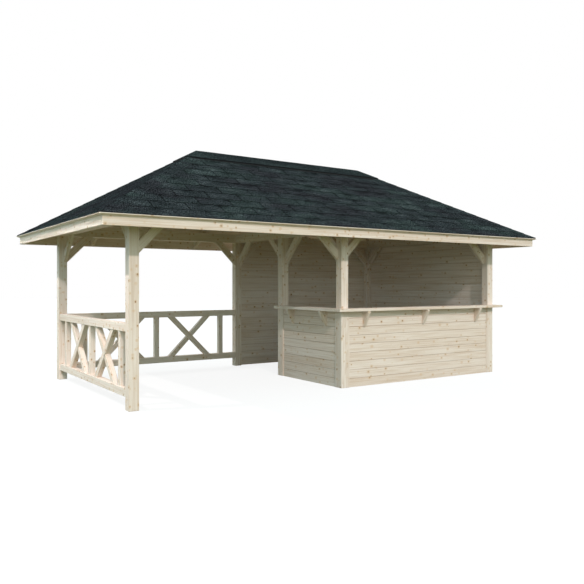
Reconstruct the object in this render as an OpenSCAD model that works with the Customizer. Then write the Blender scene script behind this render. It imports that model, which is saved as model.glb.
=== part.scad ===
// Open timber garden pavilion with a hip roof and a serving bar in one of its two bays.
// +X runs along the ridge towards the bar, +Y to the back, +Z up.
// The origin is on the ground under the middle of the ridge. Millimetres.

/* [Posts and beams] */
// Side of the square posts
post_size = 120; // [115:5:160]
// Post spacing along the ridge, the same for both bays
bay_length = 3000; // [2600:50:3600]
// Post spacing from front to back
bay_depth = 3000; // [2600:50:3600]
// Height of the posts from the ground to the beams
post_height = 2150; // [2000:10:2400]
// Height of the beams that lie on the posts
beam_height = 145; // [120:5:180]

/* [Knee braces] */
// Distance from the post at which a brace's lower edge meets the beam
brace_reach = 395; // [300:5:500]
// Width of a brace, square to its length
brace_width = 102; // [70:2:130]
// Thickness of a brace
brace_thickness = 50; // [35:1:55]

/* [Roof frame] */
// Pitch of all four slopes in degrees
roof_pitch = 30; // [24:0.5:36]
// Distance from the posts' outer faces to the fascia's outer face
eave_overhang = 439; // [300:1:600]
// Thickness of the rafters, the hips and the ridge
rafter_width = 45; // [35:1:70]
// Depth of the rafters, square to the slope
rafter_depth = 115; // [95:5:145]
// Depth of the hip rafters, measured upright
hip_depth = 150; // [140:5:180]
// Depth of the ridge beam
ridge_depth = 170; // [150:5:220]
// Length of the level seat where a rafter sits on its beam
rafter_seat = 30; // [20:5:60]
// Distance between the rafters beside each end of the ridge
rafter_spacing = 900; // [700:25:1100]

/* [Roof cover] */
// Thickness of the roof boards
board_thickness = 18; // [15:1:28]
// Thickness of the shingle cover
shingle_thickness = 8; // [5:1:14]
// Gap between the shingles' edge and the eave trim's lip
shingle_gap = 1; // [0.5:0.5:3]
// Level distance that the ridge cap reaches down each slope
ridge_cap_reach = 250; // [180:10:320]
// Thickness of the ridge cap
ridge_cap_thickness = 12; // [6:1:20]
// Level width of a hip cap on each side of its hip
hip_cap_reach = 130; // [90:5:170]
// Thickness of the hip caps
hip_cap_thickness = 5; // [3:1:8]

/* [Eaves] */
// Height of the fascia boards
fascia_height = 122; // [100:1:160]
// Thickness of the fascia boards
fascia_thickness = 20; // [15:1:30]
// Height of the rafters' level tails over the fascia's lower edge
tail_rise = 6; // [2:1:15]
// Distance that the eave trim stands out from the fascia
trim_depth = 44; // [30:1:55]
// Thickness of the trim's lip, which stands before the shingles' edge
trim_lip = 8; // [5:1:12]
// Height of the lip over the underside of the shingles' edge
trim_rise = 2; // [1:1:6]
// Height of the trim's upright nose, with its lip
trim_nose = 8; // [6:1:14]
// Distance that the trim's foot laps the fascia
trim_lap = 20; // [12:1:30]
// Thickness of the trim's foot
trim_foot = 8; // [6:1:20]
// Open mitre between two lengths of trim
trim_mitre_gap = 1; // [0.5:0.5:3]

/* [Railings] */
// Height of the top rail's upper face
rail_top = 981; // [900:1:1100]
// Height of the bottom rail's lower face
rail_bottom = 142; // [80:1:200]
// Height of a rail
rail_height = 97; // [70:1:110]
// Thickness of a rail
rail_thickness = 92; // [75:1:110]
// Width of the uprights and of the cross bars
infill_width = 76; // [50:1:90]
// Thickness of the uprights and of the cross bars
infill_thickness = 70; // [45:1:75]
// Distance from a post to the middle of the nearest upright
upright_inset = 276; // [150:2:320]
// Depth to which the uprights and the cross bars are let into the rails
tenon_depth = 30; // [15:1:40]

/* [Walls] */
// Thickness of the wall boards
wall_thickness = 28; // [20:1:34]
// Distance of the wall's face behind the posts' outer faces
wall_recess = 14; // [8:1:20]
// Width of the battens that hold the ends of the wall boards
batten_width = 24; // [16:1:40]
// Distance of the outer battens behind the posts' outer faces
batten_recess = 3; // [1:1:6]
// Clearance between the inner battens and the braces
batten_clearance = 2; // [1:1:6]

/* [Serving bar] */
// Height of the bar's walls, up to the counter
bar_height = 1052; // [950:1:1150]
// Thickness of the counter
counter_thickness = 40; // [30:1:50]
// Distance that the counter passes the posts' outer faces
counter_overhang = 112; // [90:1:160]
// Clearance of the counter's notches around the posts
notch_clearance = 1; // [0:0.5:3]
// Height of a counter bracket
bracket_height = 220; // [150:5:300]
// Depth of a counter bracket
bracket_depth = 122; // [80:1:125]
// Thickness of a counter bracket
bracket_thickness = 45; // [30:1:60]
// Height of a bracket's square nose and width of its foot
bracket_toe = 22; // [12:1:40]
// Distance of the outer front brackets from the middle of the bar
front_bracket_spacing = 1150; // [800:10:1300]
// Distance of the side brackets from the middle of the bar's side
side_bracket_spacing = 415; // [300:5:600]
// Distance of the side brackets' middle from the middle of the bar's side, towards the front
side_bracket_shift = 20; // [0:5:60]

/* [Hidden] */

timber = "BurlyWood";
pale_timber = "Wheat";
roofing = "DimGray";
capping = "DarkSlateGray";

// Sides of the roof and of the post grid, as turns from the front
FRONT = 0;
RIGHT = 90;
BACK = 180;
LEFT = 270;

// How far every cut runs past what it cuts
overrun = 50;

half_post = post_size / 2;
row_y = bay_depth / 2;
outer_x = bay_length + half_post;
outer_y = row_y + half_post;
inner_x = bay_length - half_post;
inner_y = row_y - half_post;
bay_middle = bay_length / 2;

beam_top = post_height + beam_height;
lap_height = beam_height / 2;
brace_foot = brace_width * sqrt(2);

fascia_x = outer_x + eave_overhang;
fascia_y = outer_y + eave_overhang;
ridge_half = fascia_x - fascia_y;
half_rafter = rafter_width / 2;
rise = tan(roof_pitch);
upright_share = 1 / cos(roof_pitch);

// Heights of the roof's layers over the fascia's outer face
rafter_foot = beam_top - (eave_overhang + rafter_seat) * rise;
boards_foot = rafter_foot + rafter_depth * upright_share;
shingles_foot = boards_foot + board_thickness * upright_share;
cap_foot = shingles_foot + shingle_thickness * upright_share;
cap_top = cap_foot + ridge_cap_thickness * upright_share;
boards_ridge = boards_foot + fascia_y * rise;
trim_reach = trim_depth - trim_lip;
roof_reach = trim_reach - shingle_gap;
roof_height = cap_top + fascia_x * rise;

// A hip's top is dropped until its edges meet the boards of both slopes
hip_drop = half_rafter / sqrt(2) * rise;
hip_rise = rise / sqrt(2);
hip_tail = fascia_thickness * sqrt(2) + half_rafter;
hip_length = fascia_y * sqrt(2);

trim_bottom = boards_foot - trim_lap;
trim_shelf = shingles_foot - trim_reach * rise;
trim_tip = trim_shelf + trim_rise;

// The rafters' tails end level, out of sight behind the fascia
tail_foot = boards_foot - fascia_height + tail_rise;

wall_face_x = outer_x - wall_recess;
wall_face_y = outer_y - wall_recess;
bar_wall_face = half_post - wall_recess;
inner_batten = post_size - wall_recess - wall_thickness - brace_thickness - batten_clearance;
outer_batten = wall_recess - batten_recess;
counter_edge_x = outer_x + counter_overhang;
counter_edge_y = outer_y + counter_overhang;
side_counter_edge = half_post + counter_overhang;

// A child drawn in the plane of (across, up) and extruded along +X or +Y
module along_x(start, length)
    translate([start, 0, 0])
        rotate([90, 0, 90])
            linear_extrude(height = length)
                children();

module along_y(start, length)
    translate([0, start + length, 0])
        rotate([90, 0, 0])
            linear_extrude(height = length)
                children();

module block(x, y, z)
    translate([x[0], y[0], z[0]])
        cube([x[1] - x[0], y[1] - y[0], z[1] - z[0]]);

module timber_post(x, y)
    color(timber)
        block([x - half_post, x + half_post], [y - half_post, y + half_post], [0, post_height]);

// Long beams are halved from above where the cross beams lie in them
module long_beam(y)
    color(timber)
        difference() {
            block([-outer_x, outer_x], [y - half_post, y + half_post], [post_height, beam_top]);
            for (x = [-bay_length, 0, bay_length])
                block([x - half_post - (x < 0 ? overrun : 0), x + half_post + (x > 0 ? overrun : 0)],
                      [y - half_post - overrun, y + half_post + overrun],
                      [post_height + lap_height, beam_top + overrun]);
        }

module cross_beam(x)
    color(timber)
        difference() {
            block([x - half_post, x + half_post], [-outer_y, outer_y], [post_height, beam_top]);
            for (end = [-1, 1])
                block([x - half_post - overrun, x + half_post + overrun],
                      end < 0 ? [-outer_y - overrun, -inner_y] : [inner_y, outer_y + overrun],
                      [post_height - overrun, post_height + lap_height]);
        }

// A knee brace in its own plane, rising from a post's face at 0 to the beam's underside
module brace_outline()
    polygon([
        [0, post_height - brace_reach],
        [brace_reach, post_height],
        [brace_reach - brace_foot, post_height],
        [0, post_height - brace_reach + brace_foot]
    ]);

module brace_along_x(x, way, y)
    translate([x + way * half_post, 0, 0])
        along_y(y, brace_thickness)
            scale([way, 1])
                brace_outline();

module brace_along_y(y, way, x)
    translate([0, y + way * half_post, 0])
        along_x(x, brace_thickness)
            scale([way, 1])
                brace_outline();

// All braces of one row of posts, flush with the row's inner faces
module row_braces(y)
    color(timber)
        for (spot = [[-bay_length, 1], [0, -1], [0, 1], [bay_length, -1]])
            brace_along_x(spot[0], spot[1], y);

module end_braces(x)
    color(timber)
        for (way = [-1, 1])
            brace_along_y(-way * row_y, way, x);

// One slope in plan, facing -Y, with its eave line at -eave and its upper end at -peak
module slope_plan(eave, width, peak, top)
    polygon(concat(
        [[-width, -eave], [width, -eave]],
        top > 0 ? [[top, -peak], [-top, -peak]] : [[0, -peak]]
    ));

// The upright section of a layer that lies on a slope
module slope_section(low, high, foot, eave, depth)
    polygon([
        [-low, foot + (eave - low) * rise],
        [-high, foot + (eave - high) * rise],
        [-high, foot + (eave - high) * rise + depth],
        [-low, foot + (eave - low) * rise + depth]
    ]);

// Long slopes are trapezoids and end slopes are triangles
function is_long(side) = side == FRONT || side == BACK;
function eave_of(side) = is_long(side) ? fascia_y : fascia_x;
function width_of(side) = is_long(side) ? fascia_x : fascia_y;
function peak_of(side) = is_long(side) ? 0 : ridge_half;
function top_of(side) = is_long(side) ? ridge_half : 0;

module slope_wedge(side, reach)
    linear_extrude(height = roof_height)
        slope_plan(eave_of(side) + reach, width_of(side) + reach, peak_of(side), top_of(side));

module roof_layer(side, foot, thickness, reach)
    rotate([0, 0, side])
        intersection() {
            slope_wedge(side, reach);
            along_x(-width_of(side) - reach, 2 * (width_of(side) + reach))
                slope_section(eave_of(side) + reach, peak_of(side), foot, eave_of(side),
                              thickness * upright_share);
        }

// A band of a layer between two level distances from the ridge, for the cap
module cap_band(side)
    rotate([0, 0, side])
        intersection() {
            linear_extrude(height = roof_height)
                slope_plan(peak_of(side) + ridge_cap_reach, top_of(side) + ridge_cap_reach,
                           peak_of(side), top_of(side));
            along_x(-width_of(side), 2 * width_of(side))
                slope_section(peak_of(side) + ridge_cap_reach, peak_of(side), cap_foot,
                              eave_of(side), ridge_cap_thickness * upright_share);
        }

// Turns of the four hips in plan, from +X
function hip_turn(corner) = corner * 90 + 45;
function hip_foot(corner) = [
    (corner == 0 || corner == 3 ? 1 : -1) * fascia_x,
    (corner < 2 ? 1 : -1) * fascia_y
];

// A piece drawn as (distance in from the corner, up) and set on the line of a hip
module on_hip(corner, thickness)
    translate([hip_foot(corner)[0], hip_foot(corner)[1], 0])
        rotate([0, 0, hip_turn(corner) + 180])
            along_y(-thickness / 2, thickness)
                children();

module hip_bar(corner)
    on_hip(corner, rafter_width)
        polygon([
            [hip_tail, boards_foot - hip_drop + hip_tail * hip_rise - hip_depth],
            [hip_length, boards_foot - hip_drop + hip_length * hip_rise - hip_depth],
            [hip_length, boards_foot - hip_drop + hip_length * hip_rise],
            [hip_tail, boards_foot - hip_drop + hip_tail * hip_rise]
        ]);

// The four beams round the outside as plain bars, to notch what sits on them
module beam_ring() {
    for (side = [-1, 1]) {
        block([-outer_x, outer_x], [side * row_y - half_post, side * row_y + half_post],
              [post_height, beam_top]);
        block([side * bay_length - half_post, side * bay_length + half_post], [-outer_y, outer_y],
              [post_height, beam_top]);
    }
}

// All that lies lower than the rafters' tails
module tail_room()
    block([-fascia_x, fascia_x], [-fascia_y, fascia_y], [0, tail_foot]);

module ridge_slot()
    block([-fascia_x, fascia_x], [-half_rafter, half_rafter], [0, roof_height]);

// The full height over and under a hip, as far as the ridge, which its rafters stop at
module hip_room(corner)
    difference() {
        on_hip(corner, rafter_width)
            square([hip_length, roof_height]);
        ridge_slot();
    }

// A rafter of one slope at a place along its eave, trimmed by the hips and notched on the beams
module rafter(side, place)
    difference() {
        rotate([0, 0, side])
            intersection() {
                slope_wedge(side, 0);
                along_x(place - half_rafter, rafter_width)
                    slope_section(eave_of(side) - fascia_thickness, peak_of(side) + half_rafter,
                                  rafter_foot, eave_of(side), rafter_depth * upright_share);
            }
        for (corner = [0 : 3])
            hip_room(corner);
        beam_ring();
        tail_room();
    }

// The fascia's top is bevelled to lie under the roof boards, and its ends are mitred
module fascia(side)
    color(pale_timber)
        rotate([0, 0, side])
            intersection() {
                slope_wedge(side, 0);
                along_x(-width_of(side), 2 * width_of(side))
                    polygon([
                        [-eave_of(side), boards_foot - fascia_height],
                        [-eave_of(side) + fascia_thickness, boards_foot - fascia_height],
                        [-eave_of(side) + fascia_thickness, boards_foot + fascia_thickness * rise],
                        [-eave_of(side), boards_foot]
                    ]);
            }

// The trim stands before the fascia and the board ends, with a nose over a sloping underside and a lip
// before the shingles' edge
module trim_length(side)
    rotate([0, 0, side])
        intersection() {
            linear_extrude(height = roof_height)
                slope_plan(eave_of(side) + trim_depth,
                           width_of(side) + trim_depth - trim_mitre_gap / 2,
                           eave_of(side) - width_of(side) + trim_mitre_gap / 2, 0);
            along_x(-width_of(side) - trim_depth, 2 * (width_of(side) + trim_depth))
                polygon([
                    [-eave_of(side), shingles_foot],
                    [-eave_of(side) - trim_reach, trim_shelf],
                    [-eave_of(side) - trim_reach, trim_tip],
                    [-eave_of(side) - trim_depth, trim_tip],
                    [-eave_of(side) - trim_depth, trim_tip - trim_nose],
                    [-eave_of(side) - trim_foot, trim_bottom],
                    [-eave_of(side), trim_bottom]
                ]);
        }

// A railing between two posts, in the plane of (along, up): rails, uprights and cross bars
module railing_outline(span) {
    low = rail_bottom + rail_height - tenon_depth;
    high = rail_top - rail_height + tenon_depth;
    half_run = (high - low) / 2;
    half_bar = infill_width / sqrt(2);
    upright_place = span / 2 - upright_inset;
    for (place = [-upright_place, 0, upright_place])
        translate([place - infill_width / 2, low])
            square([infill_width, high - low]);
    for (middle = [-upright_place / 2, upright_place / 2], lean = [-1, 1])
        polygon([
            [middle - lean * half_run - half_bar, low],
            [middle - lean * half_run + half_bar, low],
            [middle + lean * half_run + half_bar, high],
            [middle + lean * half_run - half_bar, high]
        ]);
}

module railing(span)
    color(timber) {
        for (low = [rail_bottom, rail_top - rail_height])
            block([-span / 2, span / 2], [-rail_thickness / 2, rail_thickness / 2],
                  [low, low + rail_height]);
        along_y(-infill_thickness / 2, infill_thickness)
            railing_outline(span);
    }

// Both battens at both ends of a wall that runs along X between two posts
module battens_along_x(ends, face, way, height)
    for (x = [[ends[0], ends[0] + batten_width], [ends[1] - batten_width, ends[1]]]) {
        outer = face - way * outer_batten;
        inner = face + way * wall_thickness;
        block(x, way > 0 ? [outer, face] : [face, outer], [0, height]);
        block(x, way > 0 ? [inner, inner + inner_batten] : [inner - inner_batten, inner],
              [0, height]);
    }

module battens_along_y(ends, face, way, height)
    for (y = [[ends[0], ends[0] + batten_width], [ends[1] - batten_width, ends[1]]]) {
        outer = face - way * outer_batten;
        inner = face + way * wall_thickness;
        block(way > 0 ? [outer, face] : [face, outer], y, [0, height]);
        block(way > 0 ? [inner, inner + inner_batten] : [inner - inner_batten, inner], y,
              [0, height]);
    }

module bracket_outline()
    polygon([
        [0, bar_height],
        [bracket_depth, bar_height],
        [bracket_depth, bar_height - bracket_toe],
        [bracket_toe, bar_height - bracket_height],
        [0, bar_height - bracket_height]
    ]);

module post_notch(x, y)
    block([x - half_post - notch_clearance, x + half_post + notch_clearance],
          [y - half_post - notch_clearance, y + half_post + notch_clearance],
          [bar_height - overrun, bar_height + counter_thickness + overrun]);

module front_left_post() timber_post(-bay_length, -row_y);
module front_middle_post() timber_post(0, -row_y);
module front_right_post() timber_post(bay_length, -row_y);
module back_left_post() timber_post(-bay_length, row_y);
module back_middle_post() timber_post(0, row_y);
module back_right_post() timber_post(bay_length, row_y);
module bar_post() timber_post(0, 0);

module front_beam() long_beam(-row_y);
module back_beam() long_beam(row_y);
module left_beam() cross_beam(-bay_length);
module middle_beam() cross_beam(0);
module right_beam() cross_beam(bay_length);

module front_braces() row_braces(-inner_y - brace_thickness);
module back_braces() row_braces(inner_y);
module left_braces() end_braces(-inner_x - brace_thickness);
module right_braces() end_braces(inner_x);

// Braces of the bar's side, flush with the faces towards the bar
module middle_braces()
    color(timber)
        for (spot = [[-row_y, 1], [0, -1], [0, 1], [row_y, -1]])
            brace_along_y(spot[0], spot[1], half_post - brace_thickness);

module ridge_beam()
    color(timber)
        block([-ridge_half - half_rafter, ridge_half + half_rafter], [-half_rafter, half_rafter],
              [boards_ridge - half_rafter * rise - ridge_depth, boards_ridge - half_rafter * rise]);

module hip_rafters()
    color(timber)
        difference() {
            for (corner = [0 : 3])
                hip_bar(corner);
            ridge_slot();
            beam_ring();
            tail_room();
        }

module side_rafters()
    color(timber)
        for (side = [FRONT, BACK], ridge_end = [-ridge_half, ridge_half], step = [-1, 0, 1])
            rafter(side, ridge_end + step * rafter_spacing);

module end_rafters()
    color(timber)
        for (side = [LEFT, RIGHT], step = [-1, 0, 1])
            rafter(side, step * rafter_spacing);

module front_roof_boards() color(pale_timber) roof_layer(FRONT, boards_foot, board_thickness, 0);
module back_roof_boards() color(pale_timber) roof_layer(BACK, boards_foot, board_thickness, 0);
module left_roof_boards() color(pale_timber) roof_layer(LEFT, boards_foot, board_thickness, 0);
module right_roof_boards() color(pale_timber) roof_layer(RIGHT, boards_foot, board_thickness, 0);

module shingle_slope(side) color(roofing) roof_layer(side, shingles_foot, shingle_thickness, roof_reach);
module front_shingles() shingle_slope(FRONT);
module back_shingles() shingle_slope(BACK);
module left_shingles() shingle_slope(LEFT);
module right_shingles() shingle_slope(RIGHT);

module ridge_cap()
    color(capping)
        for (side = [FRONT, RIGHT, BACK, LEFT])
            cap_band(side);

// Thin caps folded over the hips, from the ridge cap down to the eave
module hip_cap(corner, side)
    intersection() {
        roof_layer(side, cap_foot, hip_cap_thickness, roof_reach);
        on_hip(corner, 2 * hip_cap_reach)
            polygon([
                [-roof_reach * sqrt(2), 0],
                [hip_length - ridge_cap_reach * sqrt(2), 0],
                [hip_length - ridge_cap_reach * sqrt(2), roof_height],
                [-roof_reach * sqrt(2), roof_height]
            ]);
    }

module hip_caps()
    color(capping)
        difference() {
            for (corner = [0 : 3]) {
                hip_cap(corner, corner < 2 ? BACK : FRONT);
                hip_cap(corner, corner == 0 || corner == 3 ? RIGHT : LEFT);
            }
            block([-ridge_half - ridge_cap_reach, ridge_half + ridge_cap_reach],
                  [-ridge_cap_reach, ridge_cap_reach], [0, roof_height]);
        }

module front_fascia() fascia(FRONT);
module back_fascia() fascia(BACK);
module left_fascia() fascia(LEFT);
module right_fascia() fascia(RIGHT);

module eave_trim()
    color(pale_timber)
        for (side = [FRONT, RIGHT, BACK, LEFT])
            trim_length(side);

module left_railing()
    translate([-bay_length, 0, 0])
        rotate([0, 0, 90])
            railing(bay_depth - post_size);

module back_railing()
    translate([-bay_middle, row_y, 0])
        railing(bay_length - post_size);

module back_wall()
    color(pale_timber)
        block([half_post, inner_x], [wall_face_y - wall_thickness, wall_face_y], [0, post_height]);

module right_wall()
    color(pale_timber)
        block([wall_face_x - wall_thickness, wall_face_x], [-inner_y, inner_y], [0, post_height]);

module bar_front_wall()
    color(pale_timber)
        block([half_post, inner_x], [-wall_face_y, -wall_face_y + wall_thickness], [0, bar_height]);

module bar_side_wall()
    color(pale_timber)
        block([-bar_wall_face, -bar_wall_face + wall_thickness], [-inner_y, -half_post],
              [0, bar_height]);

module wall_battens()
    color(timber) {
        battens_along_x([half_post, inner_x], wall_face_y, -1, post_height);
        battens_along_y([-inner_y, inner_y], wall_face_x, -1, post_height);
        battens_along_x([half_post, inner_x], -wall_face_y, 1, bar_height);
        battens_along_y([-inner_y, -half_post], -bar_wall_face, 1, bar_height);
    }

module front_counter()
    color(pale_timber)
        difference() {
            block([-side_counter_edge, counter_edge_x], [-counter_edge_y, -inner_y],
                  [bar_height, bar_height + counter_thickness]);
            post_notch(0, -row_y);
            post_notch(bay_length, -row_y);
        }

module side_counter()
    color(pale_timber)
        difference() {
            block([-side_counter_edge, half_post], [-inner_y, 0],
                  [bar_height, bar_height + counter_thickness]);
            post_notch(0, 0);
            post_notch(0, -row_y);
        }

module counter_brackets()
    color(timber) {
        for (step = [-1, 0, 1])
            translate([bay_middle + step * front_bracket_spacing - bracket_thickness / 2,
                       -wall_face_y, 0])
                along_x(0, bracket_thickness)
                    scale([-1, 1])
                        bracket_outline();
        for (step = [-1, 1])
            translate([-bar_wall_face,
                       -row_y / 2 - side_bracket_shift + step * side_bracket_spacing
                       - bracket_thickness / 2, 0])
                along_y(0, bracket_thickness)
                    scale([-1, 1])
                        bracket_outline();
    }

front_left_post();
front_middle_post();
front_right_post();
back_left_post();
back_middle_post();
back_right_post();
bar_post();
front_beam();
back_beam();
left_beam();
middle_beam();
right_beam();
front_braces();
back_braces();
left_braces();
middle_braces();
right_braces();
ridge_beam();
hip_rafters();
side_rafters();
end_rafters();
front_roof_boards();
back_roof_boards();
left_roof_boards();
right_roof_boards();
front_shingles();
back_shingles();
left_shingles();
right_shingles();
ridge_cap();
hip_caps();
front_fascia();
back_fascia();
left_fascia();
right_fascia();
eave_trim();
left_railing();
back_railing();
back_wall();
right_wall();
bar_front_wall();
bar_side_wall();
wall_battens();
front_counter();
side_counter();
counter_brackets();
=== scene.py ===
"""Looks of a timber garden gazebo: boards, shingles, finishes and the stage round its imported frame."""

import math
import random

import bmesh
import bpy
from mathutils import Matrix, Vector


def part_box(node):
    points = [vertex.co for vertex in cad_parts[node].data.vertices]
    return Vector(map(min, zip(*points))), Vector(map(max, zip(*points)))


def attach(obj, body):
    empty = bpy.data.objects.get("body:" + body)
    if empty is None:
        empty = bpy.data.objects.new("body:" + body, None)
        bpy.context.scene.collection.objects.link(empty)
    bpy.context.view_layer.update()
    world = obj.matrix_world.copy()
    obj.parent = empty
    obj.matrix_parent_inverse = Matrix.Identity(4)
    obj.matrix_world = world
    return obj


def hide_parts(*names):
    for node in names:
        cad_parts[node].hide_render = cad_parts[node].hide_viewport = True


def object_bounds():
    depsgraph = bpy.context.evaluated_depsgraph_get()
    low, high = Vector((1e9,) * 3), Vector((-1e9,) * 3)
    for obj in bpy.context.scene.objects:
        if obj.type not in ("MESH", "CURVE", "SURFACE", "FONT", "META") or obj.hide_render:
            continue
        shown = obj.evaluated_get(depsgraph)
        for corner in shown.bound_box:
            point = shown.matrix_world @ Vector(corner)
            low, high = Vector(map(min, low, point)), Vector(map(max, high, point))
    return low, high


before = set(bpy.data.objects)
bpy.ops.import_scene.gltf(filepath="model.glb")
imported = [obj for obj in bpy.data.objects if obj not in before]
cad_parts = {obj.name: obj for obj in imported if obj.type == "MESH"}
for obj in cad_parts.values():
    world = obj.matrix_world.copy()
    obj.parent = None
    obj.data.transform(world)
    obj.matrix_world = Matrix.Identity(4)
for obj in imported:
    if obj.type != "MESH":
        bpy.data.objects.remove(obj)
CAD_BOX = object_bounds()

bl_info = {
    "name": "Garden gazebo looks",
    "version": (1, 0, 0),
    "blender": (4, 5, 0),
    "location": "3D View > Sidebar > Gazebo",
    "description": "Boards, shingles, timber finishes and stage for a garden gazebo",
    "category": "Object",
}

BODY = "root"
FULL_TURN = 2 * math.pi
UP = Vector((0, 0, 1))
ALONG_RIDGE = Vector((1, 0, 0))
ACROSS_RIDGE = Vector((0, 1, 0))
WHITE = (1, 1, 1, 1)

POSTS = (
    "front_left_post", "front_middle_post", "front_right_post",
    "back_left_post", "back_middle_post", "back_right_post", "bar_post",
)
BEAMS = ("front_beam", "back_beam", "left_beam", "middle_beam", "right_beam")
BRACES = ("front_braces", "back_braces", "left_braces", "middle_braces", "right_braces")
ROOF_FRAME = ("ridge_beam", "hip_rafters", "side_rafters", "end_rafters")
EAVES = ("front_fascia", "back_fascia", "left_fascia", "right_fascia", "eave_trim")
BAR_JOINERY = ("front_counter", "side_counter", "counter_brackets", "wall_battens")
RAILINGS = ("left_railing", "back_railing")
WALLS = ("back_wall", "right_wall", "bar_front_wall", "bar_side_wall")
# In the order of their quarter turns
SIDES = ("front", "right", "back", "left")


# Settings


def named_number(name, description, number, **settings):
    return bpy.props.FloatProperty(name=name, description=description, default=number, **settings)


def named_share(name, description, share):
    return named_number(name, description, share, min=0, max=1)


def named_length(name, description, length):
    return named_number(name, description, length, min=0, unit="LENGTH")


def named_power(name, description, watts):
    return named_number(name, description, watts, min=0, unit="POWER")


def named_angle(name, description, degrees):
    return named_number(name, description, math.radians(degrees), subtype="ANGLE")


def named_place(name, description, place):
    return bpy.props.FloatVectorProperty(
        name=name, description=description, default=place, size=3, subtype="TRANSLATION", unit="LENGTH"
    )


def named_colour(name, description, colour):
    return bpy.props.FloatVectorProperty(
        name=name, description=description, default=colour, size=3, min=0, max=1, subtype="COLOR"
    )


class GazeboTimber(bpy.types.PropertyGroup):
    pale: named_colour("Pale wood", "Early wood of planed spruce", (0.885, 0.772, 0.712))
    dark: named_colour("Dark wood", "Late wood and heartwood of planed spruce", (0.635, 0.462, 0.347))
    knot: named_colour("Knot", "Middle of a knot", (0.27, 0.125, 0.055))
    halo: named_colour("Knot halo", "Resin-rich wood round a knot", (0.66, 0.42, 0.23))
    edge_round: named_length("Edge round", "Radius of the eased edges", 0.004)
    ring_width: named_length("Ring width", "Distance between two growth rings", 0.005)


class GazeboBoards(bpy.types.PropertyGroup):
    wall_count: bpy.props.IntProperty(
        name="Wall boards", description="Boards in a wall of full height", default=18, min=1
    )
    groove_width: named_length("Groove width", "Half width of the V joint between boards", 0.0038)
    groove_depth: named_length("Groove depth", "Depth of the V joint between boards", 0.007)
    roof_cover: named_length("Roof board cover", "Level width that one roof board covers", 0.104)
    unevenness: named_length("Unevenness", "Most that a board lies before or behind its wall", 0.0008)
    # Painted shade: the roof boards, seen only from below under the roof, take only the darkest tones
    roof_board_shade: named_share("Roof tone", "How dark the palest roof board is, from 0 to 1", 0.9)


class GazeboShingles(bpy.types.PropertyGroup):
    exposure: named_length("Exposure", "Visible height of a course, along the slope", 0.2)
    tab_width: named_length("Tab width", "Distance between two slots of a course", 0.443)
    slot_width: named_length("Slot width", "Open width of the slot between two tabs", 0.014)
    sheet: named_length("Sheet", "Thickness of one shingle sheet", 0.0045)
    charcoal: named_colour("Charcoal", "Main colour of the granules", (0.0240, 0.0284, 0.0304))
    green: named_colour("Green", "Green-black blend of granules", (0.0228, 0.0297, 0.0293))
    mauve: named_colour("Mauve", "Brownish grey blend of granules", (0.0280, 0.0292, 0.0330))
    light: named_colour("Light", "Lighter grey blend of granules", (0.0388, 0.0440, 0.0458))
    bitumen: named_colour("Bitumen", "Cut edges of the sheets", (0.002, 0.0025, 0.0028))
    # Painted shade: the sheets of the end slopes take tones from a darker range
    end_slope_shade: named_share("End tone", "How light the sheets of the end slopes are beside the long ones", 0.15)
    cap_shade: named_share("Cap shade", "How light the ridge cap's granules are beside the shingles", 0.8)


class GazeboStage(bpy.types.PropertyGroup):
    camera_place: named_place("Camera place", "Where the camera stands", (-5.6179, -8.6802, 1.4205))
    camera_turn: named_angle("Camera turn", "Turn of the level view from +Y towards +X", 33.712)
    lens: named_number("Lens", "Focal length on a 36 mm sensor", 40.56, unit="CAMERA")
    rise: named_number("Shift", "Share of the frame by which the horizon is raised", 0.0126)
    sway: named_number("Sideways shift", "Share of the frame by which the view is moved right", 0.0006)
    sun_strength: named_number("Sun", "Strength of the sun", 1.49)
    sun_colour: named_colour("Sun colour", "Colour of the sun", (1.0, 0.955, 0.935))
    sun_turn: named_angle("Sun turn", "Turn of the sun from the front towards the left", 14)
    sun_height: named_angle("Sun height", "Height of the sun over the horizon", 33)
    side_power: named_power("Side lamp", "Power of the lamp beside the left end", 735.0)
    side_colour: named_colour("Side lamp colour", "Colour of the side lamp", (1.0, 0.935, 0.91))
    side_height: named_angle("Side lamp height", "Height of the side lamp as seen from the left eave", 49)
    side_distance: named_length("Side lamp distance", "From the left eave to the side lamp", 4.0)
    side_shift: named_length("Side lamp shift", "From the middle of the left end towards the front", 0.5)
    back_power: named_power("Back lamp", "Power of the soft lamp behind the right end", 520.0)
    back_colour: named_colour("Back lamp colour", "Colour of the soft back lamp", (1.0, 0.93, 0.82))
    back_place: named_place("Back lamp place", "Where the soft back lamp stands", (8.0, 8.0, 5.0))
    left_power: named_power("Left lamp", "Power of the cool soft lamp at the left", 52.0)
    left_colour: named_colour("Left lamp colour", "Colour of the cool soft lamp", (0.10, 0.68, 1.0))
    left_place: named_place("Left lamp place", "Where the cool soft lamp stands", (-10.0, -1.0, 1.6))
    front_power: named_power("Front lamp", "Power of the soft lamp before the building", 42.0)
    front_colour: named_colour("Front lamp colour", "Colour of the soft front lamp", (0.87, 1.0, 0.40))
    front_place: named_place("Front lamp place", "Where the soft front lamp stands", (-3.0, -10.0, 2.4))
    lamp_size: named_length("Lamp size", "Side of a soft lamp", 5.0)
    sky_strength: named_number("Sky", "Strength of the sky", 1.16)
    sky: named_colour("Sky colour", "Colour of the sky's light", (0.79, 0.975, 1.0))
    floor: named_colour("Floor", "Colour of the floor", (0.97, 0.97, 0.97))
    ground: named_colour("Ground", "Colour that the floor throws back up", (0.116, 0.128, 0.050))


# Shader nodes


def put(tree, kind, values=None, **settings):
    """Adds a node; a value that is a socket is linked, and any other is set."""
    node = tree.nodes.new(kind)
    for key, setting in settings.items():
        setattr(node, key, setting)
    for key, value in (values or {}).items():
        socket = node.inputs[key]
        if isinstance(value, bpy.types.NodeSocket):
            tree.links.new(value, socket)
        else:
            socket.default_value = value
    return node


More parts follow.
